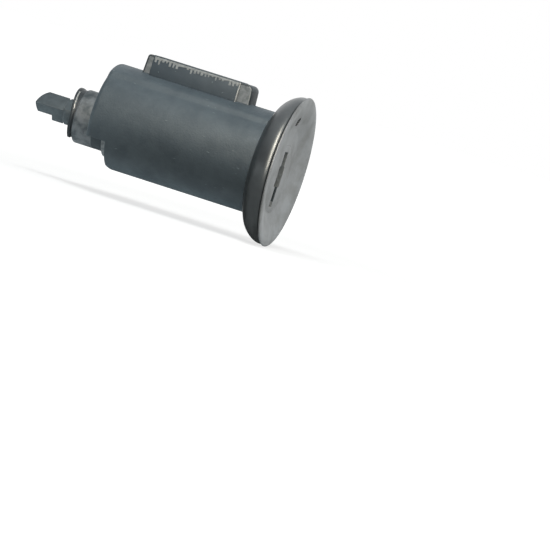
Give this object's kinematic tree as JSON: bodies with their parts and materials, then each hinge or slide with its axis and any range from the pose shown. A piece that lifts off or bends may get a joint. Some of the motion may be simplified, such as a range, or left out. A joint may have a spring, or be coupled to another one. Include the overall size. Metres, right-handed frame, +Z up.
{
  "type": "ignition lock",
  "caption": "Car ignition lock with a dished round face, a cast barrel and a ribbed pin stack; the plug turns a square tang at the rear.",
  "frame": {"origin": "on the barrel's axis, where the barrel leaves the back of the bezel ring", "axes": "+Y along the lock's axis from the face to the tail, +Z up through the rib over the pins, +X to the right for someone who looks at the face"},
  "size_m": [0.0284, 0.0493, 0.0284],
  "materials": {
    "cast_housing": "matte dark blue-grey die casting",
    "bezel_polish": "polished",
    "face_satin": "satin, lightly scratched",
    "plug_metal": "bright, worn",
    "collar_metal": "bright cast metal, worn",
    "clip_steel": "bright spring steel",
    "cover_steel": "dark pressed steel, bright worn edge",
    "pin_brass": "turned",
    "spring_steel": "drawn wire"
  },
  "bodies": {
    "housing": {"housing": "cast_housing", "bezel_ring": "bezel_polish", "face_disc": "face_satin", "spring_cover": "cover_steel", "pin_spring_1": "spring_steel", "pin_spring_2": "spring_steel", "pin_spring_3": "spring_steel", "pin_spring_4": "spring_steel", "pin_spring_5": "spring_steel"},
    "plug": {"plug": "plug_metal", "tail_collar": "collar_metal", "retaining_clip": "clip_steel"},
    "lower_pin_1": {"lower_pin_1": "pin_brass"},
    "upper_pin_1": {"upper_pin_1": "pin_brass"},
    "lower_pin_2": {"lower_pin_2": "pin_brass"},
    "upper_pin_2": {"upper_pin_2": "pin_brass"},
    "lower_pin_3": {"lower_pin_3": "pin_brass"},
    "upper_pin_3": {"upper_pin_3": "pin_brass"},
    "lower_pin_4": {"lower_pin_4": "pin_brass"},
    "upper_pin_4": {"upper_pin_4": "pin_brass"},
    "lower_pin_5": {"lower_pin_5": "pin_brass"},
    "upper_pin_5": {"upper_pin_5": "pin_brass"}
  },
  "joints": [
    {"name": "plug_turn", "type": "hinge", "parent": "housing", "child": "plug", "pos_m": [0, 0, -0.0016], "axis": [0, 1, 0], "range_deg": [0, 90]},
    {"name": "lower_pin_1_slide", "type": "slide", "parent": "plug", "child": "lower_pin_1", "axis": [0, 0, 1], "range_m": [-0.00245, 0]},
    {"name": "upper_pin_1_slide", "type": "slide", "parent": "housing", "child": "upper_pin_1", "axis": [0, 0, 1], "range_m": [-0.00245, 0], "deforming": ["pin_spring_1"]},
    {"name": "lower_pin_2_slide", "type": "slide", "parent": "plug", "child": "lower_pin_2", "axis": [0, 0, 1], "range_m": [-0.00165, 0]},
    {"name": "upper_pin_2_slide", "type": "slide", "parent": "housing", "child": "upper_pin_2", "axis": [0, 0, 1], "range_m": [-0.00165, 0], "deforming": ["pin_spring_2"]},
    {"name": "lower_pin_3_slide", "type": "slide", "parent": "plug", "child": "lower_pin_3", "axis": [0, 0, 1], "range_m": [-0.00285, 0]},
    {"name": "upper_pin_3_slide", "type": "slide", "parent": "housing", "child": "upper_pin_3", "axis": [0, 0, 1], "range_m": [-0.00285, 0], "deforming": ["pin_spring_3"]},
    {"name": "lower_pin_4_slide", "type": "slide", "parent": "plug", "child": "lower_pin_4", "axis": [0, 0, 1], "range_m": [-0.00205, 0]},
    {"name": "upper_pin_4_slide", "type": "slide", "parent": "housing", "child": "upper_pin_4", "axis": [0, 0, 1], "range_m": [-0.00205, 0], "deforming": ["pin_spring_4"]},
    {"name": "lower_pin_5_slide", "type": "slide", "parent": "plug", "child": "lower_pin_5", "axis": [0, 0, 1], "range_m": [-0.00325, 0]},
    {"name": "upper_pin_5_slide", "type": "slide", "parent": "housing", "child": "upper_pin_5", "axis": [0, 0, 1], "range_m": [-0.00325, 0], "deforming": ["pin_spring_5"]}
  ],
  "couplings": [
    {"joint": "upper_pin_1_slide", "follows": "lower_pin_1_slide", "ratio": 1},
    {"joint": "upper_pin_2_slide", "follows": "lower_pin_2_slide", "ratio": 1},
    {"joint": "upper_pin_3_slide", "follows": "lower_pin_3_slide", "ratio": 1},
    {"joint": "upper_pin_4_slide", "follows": "lower_pin_4_slide", "ratio": 1},
    {"joint": "upper_pin_5_slide", "follows": "lower_pin_5_slide", "ratio": 1}
  ]
}
